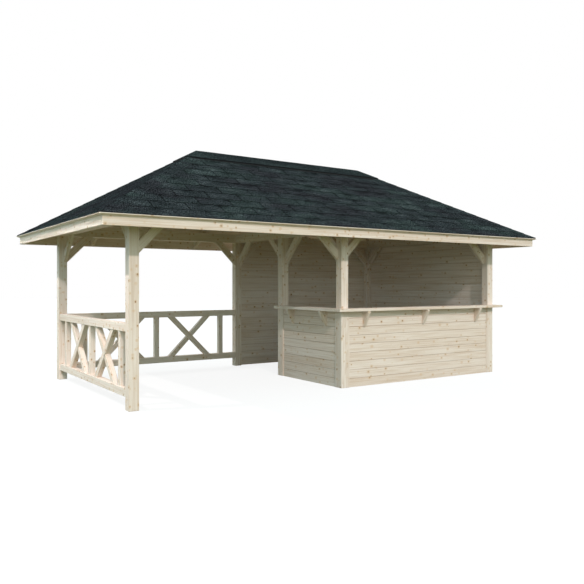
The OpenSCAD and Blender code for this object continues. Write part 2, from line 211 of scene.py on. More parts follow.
def reckon(tree, operation, *values):
    return put(tree, "ShaderNodeMath", dict(enumerate(values)), operation=operation).outputs[0]


def times(tree, first, second):
    return reckon(tree, "MULTIPLY", first, second)


def reckon_vector(tree, operation, *values):
    return put(tree, "ShaderNodeVectorMath", dict(enumerate(values)), operation=operation).outputs[0]


def blend(tree, factor, first, second, mode="MIX"):
    node = put(tree, "ShaderNodeMix", {0: factor, 6: first, 7: second}, data_type="RGBA", blend_type=mode)
    return node.outputs[2]


def ramp(tree, value, from_low, from_high, to_low, to_high, kind="SMOOTHSTEP"):
    values = {0: value, 1: from_low, 2: from_high, 3: to_low, 4: to_high}
    return put(tree, "ShaderNodeMapRange", values, interpolation_type=kind).outputs[0]


def noise(tree, vector, detail=2.0, roughness=0.5):
    values = {"Vector": vector, "Scale": 1.0, "Detail": detail, "Roughness": roughness}
    return put(tree, "ShaderNodeTexNoise", values).outputs


def attribute(tree, name):
    return put(tree, "ShaderNodeAttribute", attribute_name=name).outputs


def opaque(colour):
    return (*colour, 1)


def start_group(name, inputs, outputs):
    tree = bpy.data.node_groups.new(name, "ShaderNodeTree")
    for label, kind in inputs:
        tree.interface.new_socket(label, in_out="INPUT", socket_type=kind)
    for label in outputs:
        tree.interface.new_socket(label, in_out="OUTPUT", socket_type="NodeSocketFloat")
    return tree, put(tree, "NodeGroupInput").outputs, put(tree, "NodeGroupOutput").inputs


def group_outputs(tree, name, maker, values):
    if name not in bpy.data.node_groups:
        maker(name)
    return put(tree, "ShaderNodeGroup", values, node_tree=bpy.data.node_groups[name]).outputs


def start_material(name, gloss):
    material = bpy.data.materials.new(name)
    material.use_nodes = True
    shader = material.node_tree.nodes["Principled BSDF"]
    shader.inputs["Specular IOR Level"].default_value = gloss
    return material, material.node_tree, shader.inputs


# Spruce


KNOT_OVAL = Vector((0.75, 1, 1))
KNOT_CHANCE = 0.1
KNOT_RADII = (0.0015, 0.0135)
KNOT_DEPTHS = (0.45, 1.0)
KNOT_CORE = 0.7
KNOT_HALO = 2.6


def knots_group(name):
    """Round knots scattered in the wood, with the darker wood that runs round them."""
    tree, given, wanted = start_group(
        name,
        [("Grain", "NodeSocketVector"), ("Along", "NodeSocketFloat"), ("Across", "NodeSocketFloat")],
        ("Knot", "Halo"),
    )
    counts = {0: given["Along"], 1: given["Across"], 2: given["Across"]}
    cells = put(tree, "ShaderNodeCombineXYZ", counts).outputs[0]
    spread = reckon_vector(tree, "MULTIPLY", given["Grain"], cells)
    cell = put(tree, "ShaderNodeTexVoronoi", {"Vector": spread, "Scale": 1.0, "Randomness": 1.0}).outputs
    offset = reckon_vector(tree, "SUBTRACT", cell["Position"], spread)
    offset = reckon_vector(tree, "DIVIDE", offset, cells)
    offset = reckon_vector(tree, "MULTIPLY", offset, KNOT_OVAL)
    distance = put(tree, "ShaderNodeVectorMath", {0: offset}, operation="LENGTH").outputs["Value"]
    chance = put(tree, "ShaderNodeSeparateXYZ", {0: cell["Color"]}).outputs
    radius = ramp(tree, chance[0], KNOT_CHANCE, 1.0, *KNOT_RADII, "LINEAR")
    depth = ramp(tree, chance[1], 0.0, 1.0, *KNOT_DEPTHS, "LINEAR")
    core = times(tree, radius, KNOT_CORE)
    wide = times(tree, radius, KNOT_HALO)
    tree.links.new(ramp(tree, distance, core, radius, depth, 0.0), wanted["Knot"])
    tree.links.new(ramp(tree, distance, radius, wide, 1.0, 0.0), wanted["Halo"])


# Cells in a metre along and across the grain, and detail
WOOD_NOISES = {"Fibre": ((9, 420, 420), 3.0), "Streak": ((1.7, 70, 70), 2.0), "Drift": ((0.8, 6, 6), 3.0)}
WOOD_SPANS = {"Streak": (0.42, 0.66), "Drift": (0.35, 0.65)}
WANDER_CELLS = Vector((1.3, 7, 7))
WANDER_MIDDLE = Vector((0.5, 0.5, 0.5))
WANDER_REACH = Vector((0, 0.03, 0.03))
# Distance between two rings of a wave texture at a scale of 1
WAVE_LENGTH = FULL_TURN / 20
RING_SHARPNESS = 2.2


def grain_group(name):
    """Growth rings, fibres and slow changes of tone along a piece of spruce."""
    tree, given, wanted = start_group(
        name,
        [("Grain", "NodeSocketVector"), ("Ring width", "NodeSocketFloat")],
        ("Ring", "Fibre", "Streak", "Drift"),
    )
    wander = noise(tree, reckon_vector(tree, "MULTIPLY", given["Grain"], WANDER_CELLS))["Color"]
    centred = reckon_vector(tree, "SUBTRACT", wander, WANDER_MIDDLE)
    bent = reckon_vector(tree, "MULTIPLY_ADD", centred, WANDER_REACH, given["Grain"])
    wave = put(
        tree, "ShaderNodeTexWave",
        {"Vector": bent, "Scale": reckon(tree, "DIVIDE", WAVE_LENGTH, given["Ring width"])},
        wave_type="RINGS", rings_direction="X", wave_profile="SAW",
    )
    tree.links.new(reckon(tree, "POWER", wave.outputs["Fac"], RING_SHARPNESS), wanted["Ring"])
    for label, (cells, detail) in WOOD_NOISES.items():
        spread = reckon_vector(tree, "MULTIPLY", given["Grain"], Vector(cells))
        value = noise(tree, spread, detail)["Fac"]
        if label in WOOD_SPANS:
            value = ramp(tree, value, *WOOD_SPANS[label], 0, 1)
        tree.links.new(value, wanted[label])


TIMBER = "Spruce timber"
BOARDS = "Spruce boards"
WOOD_CONTRAST = {TIMBER: 0.95, BOARDS: 1.0}
KNOT_CELLS_ALONG = {TIMBER: 30.0, BOARDS: 12.0}
KNOT_CELLS_ACROSS = 11.0
WOOD_SHARES = {"Ring": 0.36, "Fibre": 0.12, "Streak": 0.34, "Drift": 0.18}
TONE_SHARE = 0.24
HALO_STRENGTH = 0.5
KNOT_STRENGTH = 0.85
# How strongly shade is painted into the bottom of the V joints between boards
JOINT_PAINTED_SHADE = 0.55
WOOD_GLOSS = 0.12
WOOD_ROUGHNESS = 0.52
FIBRE_ROUGHNESS = 0.22
RING_HEIGHT = -0.5
WOOD_BUMP = {"Strength": 0.35, "Distance": 0.0012}


def spruce_material(name, timber):
    """Unpainted planed spruce that follows the grain attribute of its piece."""
    if name in bpy.data.materials:
        return bpy.data.materials[name]
    material, tree, shader = start_material(name, WOOD_GLOSS)
    grain = attribute(tree, "grain")["Vector"]
    tone = attribute(tree, "tone")["Fac"]
    joint = attribute(tree, "joint")["Fac"]
    wood = group_outputs(tree, "Spruce grain", grain_group, {"Grain": grain, "Ring width": timber.ring_width})
    cells = {"Along": KNOT_CELLS_ALONG[name], "Across": KNOT_CELLS_ACROSS}
    knots = group_outputs(tree, "Knots", knots_group, {"Grain": grain, **cells})
    contrast = WOOD_CONTRAST[name]
    shade = 0.0
    for label, share in WOOD_SHARES.items():
        shade = reckon(tree, "MULTIPLY_ADD", wood[label], share * contrast, shade)
    shade = reckon(tree, "MULTIPLY_ADD", tone, TONE_SHARE * contrast, shade)
    colour = blend(tree, shade, opaque(timber.pale), opaque(timber.dark))
    for mask, strength, stain_and_shade in (
        (knots["Halo"], HALO_STRENGTH, timber.halo),
        (knots["Knot"], KNOT_STRENGTH, timber.knot),
        # Painted shade in the V joints, darkest at the bottom of each groove
        (joint, JOINT_PAINTED_SHADE, timber.knot),
    ):
        colour = blend(tree, times(tree, mask, strength), colour, opaque(stain_and_shade))
    tree.links.new(colour, shader["Base Color"])
    rough = reckon(tree, "MULTIPLY_ADD", wood["Fibre"], FIBRE_ROUGHNESS, WOOD_ROUGHNESS)
    tree.links.new(rough, shader["Roughness"])
    height = reckon(tree, "MULTIPLY_ADD", wood["Ring"], RING_HEIGHT, wood["Fibre"])
    bump = put(tree, "ShaderNodeBump", {"Height": height, **WOOD_BUMP})
    tree.links.new(bump.outputs[0], shader["Normal"])
    return material


# Granules


# Cells in a metre along and up the slope, shift, detail and roughness
GRANULE_NOISES = {
    "Speckle": ((420, 420, 420), (0, 0, 0), 2.0, 0.7),
    "Clump": ((76, 50, 50), (0, 0, 0), 3.0, 0.7),
    "Blotch": ((3.4, 6.5, 6.5), (0, 0, 0), 4.0, 0.65),
    "Blend": ((0.75, 1.9, 1.9), (4.7, 0.4, 0), 2.0, 0.5),
}
GRANULE_SPAN = (0.32, 0.68)


def granules_group(name):
    """Mineral granules: a fine speckle, clumps of like granules, and blotchy changes of shade and blend."""
    tree, given, wanted = start_group(name, [("Place", "NodeSocketVector")], GRANULE_NOISES)
    for label, (cells, shift, detail, roughness) in GRANULE_NOISES.items():
        spread = reckon_vector(tree, "MULTIPLY_ADD", given["Place"], Vector(cells), Vector(shift))
        value = noise(tree, spread, detail, roughness)["Fac"]
        tree.links.new(ramp(tree, value, *GRANULE_SPAN, 0.0, 1.0, "LINEAR"), wanted[label])


# How each noise of the granules turns into shade
GRANULE_SHADES = {
    "Speckle": (0, 1, 0.4, 1.6, "LINEAR"),
    "Clump": (0.31, 0.69, 0.04, 1.98, "SMOOTHSTEP"),
    "Blotch": (0, 1, 0.76, 1.26, "LINEAR"),
    "Blend": (0, 1, 0.72, 1.34, "LINEAR"),
}
TONE_SHADE = (0, 1, 0.88, 1.12, "LINEAR")
BLEND_SHARE = 0.83
BLEND_START = -0.085
TONE_BLEND = 0.34
CHARCOAL_SPAN = (0.22, 0.42, 0, 1)
GREEN_SPAN = (0.52, 0.70, 0, 1)
LIGHT_SPAN = (0.62, 0.95, 0, 0.5)
CAP_GREEN_SPAN = (0.1, 0.8, 0, 0.8)
SMUDGE_SPAN = (0.5, 0.15, 0, 0.5)
SMUDGE_RISE = (0.35, 0.9)
# Painted shade under the edge of the next course: darker from this share of the exposure up, and dark where
# the covered part shows in a slot
PAINTED_LAP_START = 0.94
PAINTED_LAP_SHADE = 0.15
GRANULE_GLOSS = 0.0
GRANULE_ROUGHNESS = 0.9
CLUMP_HEIGHT = 0.5
GRANULE_BUMP = {"Strength": 0.6, "Distance": 0.0015}


def granule_material(name, shingles, banded):
    """Bitumen sheet with mineral granules, blended softly over the slope and from sheet to sheet."""
    if name in bpy.data.materials:
        return bpy.data.materials[name]
    material, tree, shader = start_material(name, GRANULE_GLOSS)
    shader["Roughness"].default_value = GRANULE_ROUGHNESS
    place = attribute(tree, "grain")["Vector"]
    tone = attribute(tree, "tone")["Fac"]
    granules = group_outputs(tree, "Granules", granules_group, {"Place": place})
    mixed = reckon(tree, "MULTIPLY_ADD", granules["Blend"], BLEND_SHARE, BLEND_START)
    mixed = reckon(tree, "MULTIPLY_ADD", tone, TONE_BLEND, mixed)
    shade = 1.0
    for label, span in GRANULE_SHADES.items():
        shade = times(tree, shade, ramp(tree, granules[label], *span))
    shade = times(tree, shade, ramp(tree, tone, *TONE_SHADE))
    charcoal = opaque(shingles.charcoal)
    green = opaque(shingles.green)
    if banded:
        colour = blend(tree, ramp(tree, mixed, *CHARCOAL_SPAN), opaque(shingles.mauve), charcoal)
        colour = blend(tree, ramp(tree, mixed, *GREEN_SPAN), colour, green)
        colour = blend(tree, ramp(tree, granules["Blotch"], *LIGHT_SPAN), colour, opaque(shingles.light))
        up = attribute(tree, "joint")["Fac"]
        low, high = [share * shingles.exposure for share in SMUDGE_RISE]
        smudge = ramp(tree, granules["Blotch"], *SMUDGE_SPAN)
        smudge = times(tree, smudge, ramp(tree, up, low, high, 0, 1))
        shade = times(tree, shade, reckon(tree, "SUBTRACT", 1.0, smudge))
        # Painted shade under each course's edge and in the slots
        painted_lap_shade = ramp(tree, up, shingles.exposure * PAINTED_LAP_START, shingles.exposure, 1.0, PAINTED_LAP_SHADE)
        shade = times(tree, shade, painted_lap_shade)
    else:
        colour = blend(tree, ramp(tree, mixed, *CAP_GREEN_SPAN), charcoal, green)
        shade = times(tree, shade, shingles.cap_shade)
    grey = put(tree, "ShaderNodeCombineColor", {0: shade, 1: shade, 2: shade}).outputs[0]
    tree.links.new(blend(tree, 1.0, colour, grey, "MULTIPLY"), shader["Base Color"])
    height = reckon(tree, "MULTIPLY_ADD", granules["Clump"], CLUMP_HEIGHT, granules["Speckle"])
    bump = put(tree, "ShaderNodeBump", {"Height": height, **GRANULE_BUMP})
    tree.links.new(bump.outputs[0], shader["Normal"])
    return material


BITUMEN_GLOSS = 0.1
BITUMEN_ROUGHNESS = (0, 1, 0.55, 0.9)
STRAY_SPAN = (0.55, 1.0, 0, 0.5)


def bitumen_material(shingles):
    """Cut edges of the sheets, where the black bitumen shows with a few granules."""
    name = "Bitumen edge"
    if name in bpy.data.materials:
        return bpy.data.materials[name]
    material, tree, shader = start_material(name, BITUMEN_GLOSS)
    place = put(tree, "ShaderNodeTexCoord").outputs["Object"]
    speckle = group_outputs(tree, "Granules", granules_group, {"Place": place})["Speckle"]
    stray = ramp(tree, speckle, *STRAY_SPAN)
    colour = blend(tree, stray, opaque(shingles.bitumen), opaque(shingles.charcoal))
    tree.links.new(colour, shader["Base Color"])
    tree.links.new(ramp(tree, speckle, *BITUMEN_ROUGHNESS), shader["Roughness"])
    return material


def granules_and_edge(name, shingles, banded):
    return [granule_material(name, shingles, banded), bitumen_material(shingles)]


# Meshes


def add_object(name, data):
    made = bpy.data.objects.new(name, data)
    bpy.context.scene.collection.objects.link(made)
    return made


class Heap:
    """Collects many small closed solids that become one piece."""

    def __init__(self):
        self.points = []
        self.faces = []
        self.grain = []
        self.tones = []
        self.kinds = []
        self.joints = []

    def prism(self, first, second, first_grain, second_grain, tone, edge_kind=0, joints=None, face_kind=0):
        """Joins two outlines with the same number of points to a closed solid."""
        start = len(self.points)
        count = len(first)
        self.points += [*first, *second]
        self.grain += [*first_grain, *second_grain]
        self.tones += [tone] * (2 * count)
        self.joints += 2 * (joints or [0.0] * count)
        self.faces.append([start + i for i in reversed(range(count))])
        self.faces.append([start + count + i for i in range(count)])
        for i in range(count):
            after = (i + 1) % count
            self.faces.append([start + i, start + after, start + count + after, start + count + i])
        self.kinds += [face_kind, face_kind] + [edge_kind] * count

    def piece(self, name, materials, slot, *nodes):
        mesh = bpy.data.meshes.new(name)
        mesh.from_pydata([tuple(p) for p in self.points], [], self.faces)
        store_places(mesh, "grain", self.grain)
        store_values(mesh, "tone", self.tones)
        # The joint attribute holds the painted shade of the V joints for boards, and the rise up a course for
        # shingles
        store_values(mesh, "joint", self.joints)
        for material in materials:
            mesh.materials.append(material)
        mesh.polygons.foreach_set("material_index", self.kinds)
        straighten(mesh)
        made = add_object(name, mesh)
        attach(made, BODY)
        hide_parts(*nodes)
        return made


def store_places(mesh, name, places):
    layer = mesh.attributes.new(name, "FLOAT_VECTOR", "POINT")
    layer.data.foreach_set("vector", [value for place in places for value in place])


def store_values(mesh, name, values):
    layer = mesh.attributes.new(name, "FLOAT", "POINT")
    layer.data.foreach_set("value", values)


def straighten(mesh):
    """Turns every face of the closed solids outwards."""
    work = bmesh.new()
    work.from_mesh(mesh)
    bmesh.ops.recalc_face_normals(work, faces=work.faces)
    work.to_mesh(mesh)
    work.free()


EASED_ANGLE = math.radians(35)
EASED_SEGMENTS = 2
WELD_SHARE = 0.01


def ease_edges(piece, radius):
    weld = piece.modifiers.new("Weld", "WELD")
    weld.merge_threshold = radius * WELD_SHARE
    bevel = piece.modifiers.new("Eased edges", "BEVEL")
    bevel.width = radius
    bevel.segments = EASED_SEGMENTS
    bevel.limit_method = "ANGLE"
    bevel.angle_limit = EASED_ANGLE


def clip(outline, normal, limit):
    """The part of a flat outline on the side where normal . point is at most limit, or nothing."""
    kept = []
    for here, after in zip(outline, outline[1:] + outline[:1]):
        depth_here = normal.dot(here) - limit
        depth_after = normal.dot(after) - limit
        if depth_here <= 0:
            kept.append(here)
        if depth_here * depth_after < 0:
            kept.append(here.lerp(after, depth_here / (depth_here - depth_after)))
    return kept if len(kept) > 2 else []


# Timber that keeps its solids


PLACE_DIGITS = 5
WELD_DISTANCE = 1e-5
SHARP_ANGLE = 0.05
UPRIGHT_SHARE = 0.9
# Where a timber may lie in its log: along it, and aside and above its heart
LOG_LIMITS = ((0, 40), (0.02, 0.12), (0.03, 0.14))


def rounded(place):
    return tuple(round(value, PLACE_DIGITS) for value in place)


def timber_islands(mesh):
    """Lists the welded solids of a mesh as vertex numbers with the direction of their longest edge."""
    places = {}
    for vertex in mesh.vertices:
        places.setdefault(rounded(vertex.co), []).append(vertex.index)
    work = bmesh.new()
    work.from_mesh(mesh)
    bmesh.ops.remove_doubles(work, verts=work.verts, dist=WELD_DISTANCE)
    seen = set()
    islands = []
    for seed in work.verts:
        if seed in seen:
            continue
        seen.add(seed)
        found = [seed]
        for vertex in found:
            for edge in vertex.link_edges:
                other = edge.other_vert(vertex)
                if other not in seen:
                    seen.add(other)
                    found.append(other)
        edges = [edge for vertex in found for edge in vertex.link_edges if len(edge.link_faces) == 2]
        sharp = [edge for edge in edges if edge.calc_face_angle() > SHARP_ANGLE]
        start, end = max(sharp, key=lambda edge: edge.calc_length()).verts
        numbers = [number for vertex in found for number in places[rounded(vertex.co)]]
        islands.append((numbers, (end.co - start.co).normalized()))
    work.free()
    return islands


def grain_axes(along):
    helper = UP if abs(along.z) < UPRIGHT_SHARE else ALONG_RIDGE
    across = helper.cross(along).normalized()
    return along, across, along.cross(across)


def random_shift(draw):
    """A place in the log for one timber, so that no two show the same grain."""
    return Vector([draw.uniform(*limits) for limits in LOG_LIMITS])


def dress_solids(names, material, radius, draw):
    """Gives each timber of the named solids its own grain and tone, and eases the edges."""
    for name in names:
        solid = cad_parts[name]
        mesh = solid.data
        grain = [None] * len(mesh.vertices)
        tones = [0.0] * len(mesh.vertices)
        for numbers, along in timber_islands(mesh):
            axes = grain_axes(along)
            shift = random_shift(draw)
            tone = draw.random()
            for number in numbers:
                place = mesh.vertices[number].co
                grain[number] = shift + Vector([axis.dot(place) for axis in axes])
                tones[number] = tone
        store_places(mesh, "grain", grain)
        store_values(mesh, "tone", tones)
        mesh.materials.clear()
        mesh.materials.append(material)
        ease_edges(solid, radius)


# Boards of the walls


def board_section(low, high, inner, outer, boards, chamfer_low, chamfer_high):
    """A board's section as (up, through, depth of joint), with the V joints on both faces."""
    width = boards.groove_width
    depth = boards.groove_depth
    face = [(low, 1.0), (low + width, 0.0)] if chamfer_low else [(low, 0.0)]
    face += [(high - width, 0.0), (high, 1.0)] if chamfer_high else [(high, 0.0)]
    section = [(up, inner + depth * joint, joint) for up, joint in face]
    return section + [(up, outer - depth * joint, joint) for up, joint in reversed(face)]


def board_wall(name, boards, material, draw):
    """Level boards from the foot of a wall up, the top one cut to the wall's height."""
    low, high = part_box(name)
    size = high - low
    lengthwise = 0 if size.x > size.y else 1
    through = 1 - lengthwise
    full_low, full_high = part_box("back_wall")
    cover = (full_high.z - full_low.z) / boards.wall_count
    heap = Heap()
    level = low.z
    while level < high.z - boards.groove_width:
        top = min(level + cover, high.z)
        sway = draw.uniform(-boards.unevenness, boards.unevenness)
        section = board_section(
            level, top, low[through] + sway, high[through] + sway, boards,
            level > low.z, top < high.z,
        )
        shift = random_shift(draw)
        rings = []
        grains = []
        for end in (low[lengthwise], high[lengthwise]):
            ring = []
            grain = []
            for up, depth, joint in section:
                place = Vector((0, 0, up))
                place[lengthwise] = end
                place[through] = depth
                ring.append(place)
                grain.append(shift + Vector((end, up - level, depth - low[through])))
            rings.append(ring)
            grains.append(grain)
        heap.prism(*rings, *grains, draw.random(), joints=[joint for up, depth, joint in section])
        level = top
    heap.piece(name + "_boards", [material], "boards", name)


# Railings


class RailingBars:
    """Sizes of a railing's bars, from the span between its posts and its height."""

    rail_share = 0.1156
    width = 0.076
    depth = 0.070
    proud = 0.004
    let_in = 0.030
    upright_inset = 0.276

    def __init__(self, span, height):
        self.rail = self.rail_share * height
        self.upright = span / 2 - self.upright_inset


def bar_between(heap, start, end, across, width, depth, draw):
    """A square-cut bar from start to end; depth lies along across, the normal of the railing's face."""
    along = (end - start).normalized()
    side = across.cross(along).normalized()
    shift = random_shift(draw)
    corners = [(a * width / 2, b * depth / 2) for a, b in ((-1, -1), (1, -1), (1, 1), (-1, 1))]
    outlines = []
    grains = []
    for place in (start, end):
        outlines.append([place + side * a + across * b for a, b in corners])
        reach = (place - start).length
        grains.append([shift + Vector((reach, a, b)) for a, b in corners])
    heap.prism(*outlines, *grains, draw.random())


def build_railing(name, timber, material, draw):
    """Two rails with uprights and crosses between them, sized as the railing's solid."""
    low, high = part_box(name)
    size = high - low
    lengthwise = ALONG_RIDGE if size.x > size.y else ACROSS_RIDGE
    normal = UP.cross(lengthwise)
    facing = normal if normal.x else -normal
    span = max(size.x, size.y)
    depth = min(size.x, size.y)
    bars = RailingBars(span, size.z)
    heap = Heap()
    middle = (low + high) / 2
    base = Vector((middle.x, middle.y, low.z))
    for level in (bars.rail / 2, size.z - bars.rail / 2):
        start = base + lengthwise * (-span / 2) + UP * level
        bar_between(heap, start, start + lengthwise * span, normal, bars.rail, depth, draw)
    foot = bars.rail - bars.let_in
    head = size.z - bars.rail + bars.let_in
    for place in (-bars.upright, 0, bars.upright):
        start = base + lengthwise * place + UP * foot
        bar_between(heap, start, start + UP * (head - foot), normal, bars.width, bars.depth, draw)
    half_run = (head - foot) / 2
    for cross in (-bars.upright / 2, bars.upright / 2):
        for lean in (1, -1):
            proud = facing * (-lean * bars.proud)
            start = base + lengthwise * (cross - lean * half_run) + UP * foot + proud
            end = base + lengthwise * (cross + lean * half_run) + UP * head + proud
            bar_between(heap, start, end, normal, bars.width, bars.depth - bars.proud, draw)
    made = heap.piece(name + "_timber", [material], "timber", name)
    ease_edges(made, timber.edge_round)


# Roof slopes


def plan(along, inward):
    """A place on a slope as seen from above: along the eave, and inwards from the fascia."""
    return Vector((along, inward, 0))


def within(value, most):
    return min(max(value, 0.0), most)


class Slope:
    """One side of the roof, on which places are given in plan with their lift over the boards' underside."""

    def __init__(self, side):
        order = SIDES.index(side)
        self.turn = Matrix.Rotation(FULL_TURN / 4 * order, 3, "Z")
        low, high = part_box("front_fascia")
        boards_low, boards_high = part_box("front_roof_boards")
        cover_low, cover_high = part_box("front_shingles")
        self.long = side in ("front", "back")
        half_length = high.x
        half_depth = -low.y
        self.reach = -cover_low.y - half_depth
        self.rise = (boards_high.z - cover_low.z) / (half_depth + self.reach)
        self.upright = math.hypot(1, self.rise)
        self.foot = boards_low.z
        self.cover = (cover_low.z + self.reach * self.rise) - boards_low.z
        self.cover_top = cover_high.z - self.rise * half_depth - boards_low.z
        self.eave = half_depth if self.long else half_length
        self.half_width = half_length if self.long else half_depth
        self.run = half_depth
        self.ridge_half = half_length - half_depth
        self.apart = 4 * half_length * order

    def place(self, along, inward, lift):
        height = self.foot + inward * self.rise + lift
        return self.turn @ Vector((along, inward - self.eave, height))

    def trim(self, outline, margin):
        """Keeps what lies on this slope, stopped short of the hips by a level margin."""
        for way in (-1, 1):
            outline = clip(outline, plan(way, 1), self.half_width - margin * math.sqrt(2))
        return outline


def slab(heap, slope, outline, bottom, top, start, tone, face_kind=0):
    """A closed sheet over an outline in plan, from the lift bottom to top(place), that starts at start."""
    lower = [slope.place(p.x, p.y, bottom) for p in outline]
    upper = [slope.place(p.x, p.y, top(p)) for p in outline]
    grain = [plan(p.x + slope.apart, p.y * slope.upright) for p in outline]
    joints = [(p.y - start) * slope.upright for p in outline]
    heap.prism(lower, upper, grain, grain, tone, 1, joints, face_kind)


def board_slope(side, boards, material, draw):
    """Roof boards along the eave, with V joints on the side that shows from below."""
    slope = Slope(side)
    count = round(slope.run / boards.roof_cover)
    cover = slope.run / count
    heap = Heap()
    for row in range(count):
        low, high = row * cover, (row + 1) * cover
        section = [
            (low, boards.groove_depth, 1.0), (low + boards.groove_width, 0.0, 0.0),
            (high - boards.groove_width, 0.0, 0.0), (high, boards.groove_depth, 1.0),
            (high, slope.cover, 1.0), (low, slope.cover, 1.0),
        ]
        shift = random_shift(draw)
        ends = []
        grains = []
        for way in (-1, 1):
            places = [(way * (slope.half_width - inward), inward, lift) for inward, lift, joint in section]
            ends.append([slope.place(*place) for place in places])
            grains.append([shift + Vector((x, (y - low) * slope.upright, z)) for x, y, z in places])
        # Painted shade on the roof boards' underside: tones from the dark end only
        tone = boards.roof_board_shade + draw.random() * (1.0 - boards.roof_board_shade)
        heap.prism(*ends, *grains, tone, joints=[joint for inward, lift, joint in section])
    heap.piece(side + "_roof_planks", [material], "boards", side + "_roof_boards")


class Tabs:
    """How shingle tabs lie: in shares of a course, a tab or a sheet, and in metres."""

    underlay_sheets = 0.7
    seat_sheets = 0.3
    lap_courses = 1.08
    most_courses = 1.1
    bond_tabs = 0.5
    stray_tabs = 0.12
    ridge_gap = 0.002
    hip_gap = 0.004
    drop = 0.004
    corner = 0.006
    swell = (-0.0006, 0.0008)


def shingle_slope(side, shingles, materials, draw):
    """Courses of shingle tabs over an underlay, each tab lifted where it lies on the course below."""
    slope = Slope(side)
    heap = Heap()
    base = slope.cover
    thick = slope.cover_top - base
    sheet = shingles.sheet * slope.upright
    course = shingles.exposure / slope.upright
    width = slope.half_width + slope.reach
    ridge = slope.half_width - slope.run
    underlay = [plan(-width, -slope.reach), plan(width, -slope.reach), plan(ridge, slope.run)]
    if slope.long:
        underlay.append(plan(-ridge, slope.run))
    slab(heap, slope, underlay, base, lambda p: base + sheet * Tabs.underlay_sheets, 0.0, 0.0)
    count = math.ceil(2 * width / shingles.tab_width) + 2
    for row in range(math.ceil((slope.run + slope.reach) / course)):
        low = -slope.reach + row * course
        high = min(low + course * Tabs.lap_courses, slope.run - Tabs.ridge_gap)
        start = -width - shingles.tab_width * (Tabs.bond_tabs if row % 2 else 0.0)
        start -= shingles.tab_width * draw.uniform(0, Tabs.stray_tabs)
        for tab in range(count):
            left = start + tab * shingles.tab_width + shingles.slot_width / 2
            right = left + shingles.tab_width - shingles.slot_width
            foot = low - (draw.uniform(0.0, Tabs.drop) if row else 0.0)
            corner = Tabs.corner
            outline = [
                plan(left + corner, foot), plan(right - corner, foot), plan(right, foot + corner),
                plan(right, high), plan(left, high), plan(left, foot + corner),
            ]
            outline = slope.trim(outline, Tabs.hip_gap)
            # Painted shade on the end slopes: their tones are drawn from a darker range
            tone = draw.random() * (1.0 if slope.long else shingles.end_slope_shade)
            swell = draw.uniform(*Tabs.swell)
            if not outline:
                continue

            def top(p, low=low, swell=swell):
                share = within((p.y - low) / course, Tabs.most_courses)
                return base + thick + swell - share * (thick - sheet)

            slab(heap, slope, outline, base + sheet * Tabs.seat_sheets, top, low, tone)
    heap.piece(side + "_shingle_courses", materials, "shingles", side + "_shingles")


class HipCaps:
    """How the cap pieces of a hip lie: in courses and sheets, and in metres."""

    lap_courses = 1.35
    foot_sheets = 1.75
    head_loss = 1.2
    side_loss = 0.75
    under_ridge = 0.06
    reach = 0.13
    sunk = 0.002


def cap_hip(heap, first, second, shingles, draw):
    """Cap pieces folded over the hip between two slopes, laid from the eave up."""
    stop = first.run - (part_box("ridge_cap")[1].y - HipCaps.under_ridge)
    course = shingles.exposure / math.sqrt(2 + first.rise * first.rise)
    thin = shingles.sheet * first.upright
    base = first.cover_top
    step = HipCaps.reach * math.sqrt(2) / 2
    for row in range(math.ceil((stop + first.reach) / course)):
        low = -first.reach + row * course
        high = min(low + course * HipCaps.lap_courses, stop)
        tone = draw.random()
        for slope, way in ((first, 1), (second, -1)):
            hip = slope.half_width
            outline = [
                plan(way * (hip - low), low), plan(way * (hip - high), high),
                plan(way * (hip - high - step), high - step), plan(way * (hip - low - step), low - step),
            ]
            outline = clip(outline, plan(0, -1), slope.reach)
            if not outline:
                continue

            def top(p, way=way, hip=hip, low=low, high=high):
                along = ((hip - way * p.x) + p.y) / 2
                share = within((along - low) / (high - low), 1.0)
                aside = within((hip - way * p.x - p.y) / (2 * step), 1.0)
                sheets = HipCaps.foot_sheets - HipCaps.head_loss * share
                return base + thin * sheets * (1.0 - HipCaps.side_loss * aside)

            # Painted shade on the end slopes' side of each hip cap
            tone_with_end_shade = tone if slope.long else tone * shingles.end_slope_shade
            slab(heap, slope, outline, base - HipCaps.sunk, top, low, tone_with_end_shade)


class RidgeCap:
    """Sizes of the ridge cap's pieces and of the black strip along their lower edge, which paints the edge's
    shadow on the shingles.
    """

    length = 0.5
    lift = 0.005
    fall = 0.0025
    sunk = 0.001
    shadow_bead = 0.028
    shadow_bead_lift = 0.004
    shadow_bead_sunk = 0.003


def cap_ridge(heap, slope, draw):
    """Cap pieces over the ridge and its hipped ends, one slope's share, with a black strip under their edge
    as painted shadow.
    """
    cap_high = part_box("ridge_cap")[1]
    base = slope.cover_top
    peak = slope.run
    foot = peak - cap_high.y
    top = cap_high.z - (slope.foot + peak * slope.rise) + RidgeCap.lift
    half = slope.ridge_half if slope.long else 0.0
    wide = half + cap_high.y
    outline = [plan(-wide, foot), plan(wide, foot), plan(half, peak)]
    if slope.long:
        outline.append(plan(-half, peak))
    # A black strip under the cap's edge: painted shadow of the edge on the shingles
    edge = foot - RidgeCap.shadow_bead
    shadow_bead = [
        plan(-wide - RidgeCap.shadow_bead, edge), plan(wide + RidgeCap.shadow_bead, edge),
        plan(wide, foot), plan(-wide, foot),
    ]
    slab(heap, slope, shadow_bead, base - RidgeCap.shadow_bead_sunk, lambda p: base + RidgeCap.shadow_bead_lift, edge, 0.0, 1)
    count = max(1, round(2 * wide / RidgeCap.length)) if slope.long else 1
    length = 2 * wide / count
    for step in range(count):
        left = -wide + step * length
        part = clip(clip(outline, plan(1, 0), left + length), plan(-1, 0), -left)
        if not part:
            continue

        def lift(p, left=left):
            return top - RidgeCap.fall * (p.x - left) / length

        slab(heap, slope, part, base - RidgeCap.sunk, lift, foot, draw.random())


# Stage


